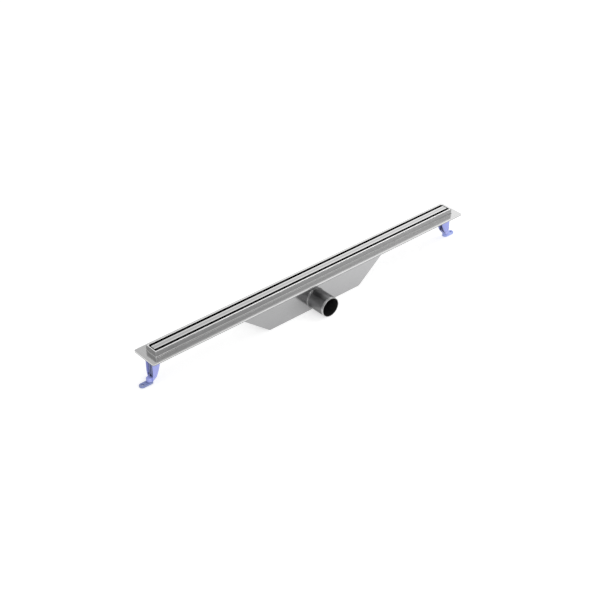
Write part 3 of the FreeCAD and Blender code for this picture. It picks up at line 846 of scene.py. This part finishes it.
class DRAIN_OT_flange_edges(bpy.types.Operator):
    """Turned-up lip of the flange round the upstand and the hem folded under its outer edge"""

    bl_idname = "drain.flange_edges"
    bl_label = "Flange lip and hem"

    def execute(self, context):
        settings = context.scene.drain_channel
        self.make_lip(settings)
        self.make_hem(settings)
        return {"FINISHED"}

    def make_lip(self, settings):
        seat = FLANGE_HIGH.z - SEAT_SINK
        top = FLANGE_HIGH.z + settings.lip_height
        thick = settings.lip_width
        round_off = thick * FOLD_SHARE
        profile = [(0.0, seat), (-thick, seat), (-thick, top - round_off),
                   (-thick + round_off, top), (0.0, top)]
        lip = swept_ring(FRAME_HIGH.x, FRAME_HIGH.y, LIP_CORNER, profile)
        # The lip's face takes the wall colour, partly painted shade; its ground top darkens with
        # painted shade towards +X
        ground = two_finish_steel("ground_lip_steel", settings, settings.wall_colour,
                                  settings.rim_colour, self.lip_top, settings.lip_end_tone)
        make_piece(lip, "flange_lip", "drain", ground)

    def make_hem(self, settings):
        seat = FLANGE_LOW.z + SEAT_SINK
        bottom = FLANGE_LOW.z - settings.hem_drop
        width = settings.hem_width
        fold = settings.hem_drop * FOLD_SHARE
        profile = [(0.0, seat), (0.0, bottom + fold), (fold, bottom), (width, bottom),
                   (width, seat)]
        hem = swept_ring(FLANGE_HIGH.x, FLANGE_HIGH.y, FLANGE_CORNER, profile)
        folded = sheet_steel("folded_hem_steel", settings.hem_colour, settings.hem_roughness,
                             SHEET_GRAIN)
        make_piece(hem, "flange_hem", "drain", folded)

    @staticmethod
    def lip_top(bench):
        high = bpy.context.scene.drain_channel.lip_height
        return bench.height(FLANGE_HIGH.z + high - LIP_TOP, GROUND_EDGE, "Top of the lip")


class DRAIN_OT_outlet(bpy.types.Operator):
    """Turned outlet tube with a bevelled mouth, and its collar"""

    bl_idname = "drain.outlet"
    bl_label = "Outlet"

    def execute(self, context):
        settings = context.scene.drain_outlet
        outer = (PIPE_HIGH.z - PIPE_LOW.z) / 2
        inner = outer - settings.wall
        rim = outer - settings.bevel_depth
        base = PIPE_HIGH.y
        mouth = PIPE_LOW.y
        bevel_end = mouth + settings.bevel_length
        outline = [(inner, base), (outer, base), (outer, bevel_end + BEVEL_FADE),
                   (outer - BEVEL_STEP, bevel_end), (rim + MOUTH_ROUND, mouth + MOUTH_ROUND_LENGTH),
                   (rim, mouth), (inner, mouth)]
        points = [Vector((radius, y, 0.0)) + PIPE_AXIS for radius, y in outline]
        form = spun(points, PIPE_AXIS, Vector((0, 1, 0)), settings.turn_steps, closed=True)
        self.share_finishes(form, inner + BORE_MARGIN, bevel_end + BEVEL_FADE)
        piece = make_piece(form, "outlet_tube", "drain", drawn_tube_steel(settings),
                           TUBE_SMOOTH_ANGLE)
        lip = plain_metal("bright_lip_steel", settings.lip_colour, settings.roughness)
        # Painted shade inside the bore
        bore = plain_metal("painted_shade_bore_steel", settings.bore_colour, settings.bore_roughness)
        piece.data.materials.append(lip)
        piece.data.materials.append(bore)
        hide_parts("outlet_pipe")
        collar = plain_metal("collar_steel", settings.collar_colour, settings.roughness)
        give_material(["outlet_collar"], collar)
        return {"FINISHED"}

    def share_finishes(self, form, bore_radius, bevel_end):
        """The bore takes the third finish, the bevel and the mouth the second."""
        for face in form.faces:
            centre = face.calc_center_median()
            radius = math.hypot(centre.x - PIPE_AXIS.x, centre.z - PIPE_AXIS.z)
            if radius < bore_radius:
                face.material_index = 2
            elif centre.y < bevel_end:
                face.material_index = 1


class DRAIN_OT_legs(bpy.types.Operator):
    """Moulded legs and sliding feet with rounded edges"""

    bl_idname = "drain.legs"
    bl_label = "Legs and feet"

    def execute(self, context):
        settings = context.scene.drain_leg
        # The legs take painted shade deep in their recess, the feet painted shade towards -X
        recess = (settings.recess_depth, settings.recess_shade)
        plastic = moulded_plastic("leg_plastic", settings.colour, settings.roughness, FLOW_TONES,
                                  recess)
        grey = moulded_plastic("foot_plastic", settings.foot_colour, settings.roughness, FLOW_TONES,
                               start_tone=settings.foot_start_tone)
        for side in SIDES:
            rounded_copy("leg_bracket_" + side, "moulded_leg_" + side, "drain",
                         plastic, settings.edge_radius)
            rounded_copy("leg_foot_" + side, "sliding_foot_" + side, "foot_" + side,
                         grey, settings.edge_radius)
        return {"FINISHED"}


def threaded_rod(node, pitch):
    """Upright rod turned with grooves over its whole length, in the box of a frame node."""
    low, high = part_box(node)
    axis = Vector(((low.x + high.x) / 2, (low.y + high.y) / 2, 0.0))
    radius = (high.x - low.x) / 2
    root = radius - THREAD_DEPTH * pitch
    outline = [(0.0, low.z), (root, low.z)]
    for turn in range(int((high.z - low.z) / pitch)):
        foot = low.z + turn * pitch
        outline += [(radius, foot + pitch / 2), (root, foot + pitch)]
    outline += [(root, high.z), (0.0, high.z)]
    points = [axis + Vector((away, 0.0, level)) for away, level in outline]
    return spun(points, axis, Vector((0, 0, 1)), THREAD_STEPS, closed=False)


class DRAIN_OT_fasteners(bpy.types.Operator):
    """Threaded studs, nuts and clamp screws"""

    bl_idname = "drain.fasteners"
    bl_label = "Fasteners"

    def execute(self, context):
        settings = context.scene.drain_fastener
        steel = plain_metal("plated_fastener_steel", settings.colour, settings.roughness)
        black = plain_metal("blackened_screw_steel", settings.screw_colour,
                            settings.screw_roughness)
        for side in SIDES:
            for kind, finish in (("bracket_nut_", steel), ("clamp_screw_", black)):
                rounded_copy(kind + side, "rounded_" + kind + side, "drain",
                             finish, settings.edge_radius)
            stud = threaded_rod("bracket_stud_" + side, settings.thread_pitch)
            piece = make_piece(stud, "threaded_stud_" + side, "drain", steel)
            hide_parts("bracket_stud_" + side)
        return {"FINISHED"}


class DRAIN_OT_studio(bpy.types.Operator):
    """Pale floor, soft light and the camera"""

    bl_idname = "drain.studio"
    bl_label = "Studio"

    def execute(self, context):
        scene = context.scene
        settings = scene.drain_studio
        self.make_floor(settings)
        self.make_sky(scene, settings)
        self.make_lamp("key_lamp", settings.key_place, settings.lamp_size, settings.key_power)
        self.make_lamp("fill_lamp", settings.fill_place, settings.lamp_size,
                       settings.key_power * settings.fill_share)
        self.make_camera(scene, settings)
        scene.view_settings.view_transform = "Standard"
        return {"FINISHED"}

    def make_floor(self, settings):
        """Pale floor that the camera and reflections see a little lighter than it is lit."""
        form = bmesh.new()
        bmesh.ops.create_grid(form, x_segments=1, y_segments=1, size=FLOOR_HALF)
        bmesh.ops.translate(form, vec=Vector((0, 0, -FLOOR_DROP)), verts=form.verts)
        mesh = bpy.data.meshes.new("studio_floor")
        form.to_mesh(mesh)
        form.free()
        floor = bpy.data.objects.new("studio_floor", mesh)
        bpy.context.scene.collection.objects.link(floor)
        material, bench, shader = fresh_material("pale_floor")
        shader.inputs["Base Color"].default_value = tuple(settings.floor_colour) + (1.0,)
        shader.inputs["Roughness"].default_value = FLOOR_ROUGHNESS
        shader.inputs["Specular IOR Level"].default_value = 0.0
        lift = bench.calculate("MULTIPLY", bench.seen_rays(), settings.floor_lift, "Lift level")
        glow = bench.add("ShaderNodeEmission", "Lift")
        both = bench.add("ShaderNodeAddShader", "Floor with lift")
        output = material.node_tree.nodes["Material Output"]
        bench.feed(lift, glow.inputs["Strength"])
        bench.feed(shader.outputs["BSDF"], both.inputs[0])
        bench.feed(glow.outputs["Emission"], both.inputs[1])
        bench.feed(both.outputs["Shader"], output.inputs["Surface"])
        mesh.materials.append(material)

    def make_sky(self, scene, settings):
        """White behind the drain for the camera and soft light from all round for the rest."""
        world = bpy.data.worlds.new("studio_sky")
        world.use_nodes = True
        bench = NodeBench(world.node_tree)
        soft = world.node_tree.nodes["Background"]
        soft.inputs["Color"].default_value = WHITE + (1.0,)
        soft.inputs["Strength"].default_value = settings.sky_level
        white = bench.add("ShaderNodeBackground", "White backdrop")
        white.inputs["Strength"].default_value = 1.0
        bench.feed(self.seen_sky(bench, settings), white.inputs["Color"])
        choose = bench.add("ShaderNodeMixShader", "Backdrop where it is seen")
        output = world.node_tree.nodes["World Output"]
        bench.feed(bench.seen_rays(), choose.inputs["Fac"])
        bench.feed(soft.outputs["Background"], choose.inputs[1])
        bench.feed(white.outputs["Background"], choose.inputs[2])
        bench.feed(choose.outputs["Shader"], output.inputs["Surface"])
        scene.world = world

    def seen_sky(self, bench, settings):
        """White for the camera. Metal reflects it white low on the +X side and greyer above."""
        place = bench.add("ShaderNodeTexCoord", "Direction")
        split = bench.add("ShaderNodeSeparateXYZ", "Direction parts")
        path = bench.add("ShaderNodeLightPath", "Rays")
        tone = bench.add("ShaderNodeCombineColor", "Sky colour")
        bench.feed(place.outputs["Generated"], split.inputs["Vector"])
        slant = bench.calculate("SUBTRACT", split.outputs["X"], split.outputs["Z"], "Slant")
        level = bench.spread(slant, settings.high_sky_tone, 1.0, "Sky tone", SKY_SLANTS)
        direct = bench.calculate("MAXIMUM", path.outputs["Is Camera Ray"], level, "White behind")
        for socket in tone.inputs[:3]:
            bench.feed(direct, socket)
        return tone.outputs["Color"]

    def make_lamp(self, name, place, size, power):
        lamp = bpy.data.lights.new(name, "AREA")
        lamp.shape = "SQUARE"
        lamp.size = size
        lamp.energy = power
        holder = bpy.data.objects.new(name, lamp)
        holder.location = place
        holder.rotation_euler = (-Vector(place)).to_track_quat("-Z", "Y").to_euler()
        bpy.context.scene.collection.objects.link(holder)

    def make_camera(self, scene, settings):
        camera = bpy.data.cameras.new("photo_camera")
        camera.lens = settings.lens
        camera.sensor_width = SENSOR_WIDTH
        camera.clip_end = CLIP_END
        holder = bpy.data.objects.new("photo_camera", camera)
        holder.location = settings.camera_place
        holder.rotation_euler = (math.pi / 2 - settings.camera_elevation, 0.0,
                                 -settings.camera_azimuth)
        scene.collection.objects.link(holder)
        scene.camera = holder


class DRAIN_PT_panel(bpy.types.Panel):
    """Sizes, finishes and steps of the shower drain"""

    bl_label = "Linear shower drain"
    bl_idname = "DRAIN_PT_panel"
    bl_space_type = "VIEW_3D"
    bl_region_type = "UI"
    bl_category = "Drain"

    def draw(self, context):
        layout = self.layout
        for operator in OPERATORS:
            layout.operator(operator.bl_idname)
        for name in SETTINGS:
            group = getattr(context.scene, name)
            section = layout.box()
            for key in group.bl_rna.properties.keys():
                if key not in ("rna_type", "name"):
                    section.prop(group, key)


SETTINGS = {
    "drain_channel": ChannelSteelSettings,
    "drain_inside": InsideSettings,
    "drain_outlet": OutletSteelSettings,
    "drain_leg": LegPlasticSettings,
    "drain_fastener": FastenerSettings,
    "drain_studio": StudioSettings,
}
OPERATORS = (DRAIN_OT_channel, DRAIN_OT_inside, DRAIN_OT_body, DRAIN_OT_flange_edges,
             DRAIN_OT_outlet, DRAIN_OT_legs, DRAIN_OT_fasteners, DRAIN_OT_studio)


def register():
    for name, group in SETTINGS.items():
        bpy.utils.register_class(group)
        setattr(bpy.types.Scene, name, bpy.props.PointerProperty(type=group))
    for item in OPERATORS + (DRAIN_PT_panel,):
        bpy.utils.register_class(item)


def unregister():
    for item in reversed(OPERATORS + (DRAIN_PT_panel,)):
        bpy.utils.unregister_class(item)
    for name, group in reversed(SETTINGS.items()):
        delattr(bpy.types.Scene, name)
        bpy.utils.unregister_class(group)


def main():
    register()
    for operator in OPERATORS:
        module, action = operator.bl_idname.split(".")
        getattr(getattr(bpy.ops, module), action)()


if __name__ == "__main__":
    main()
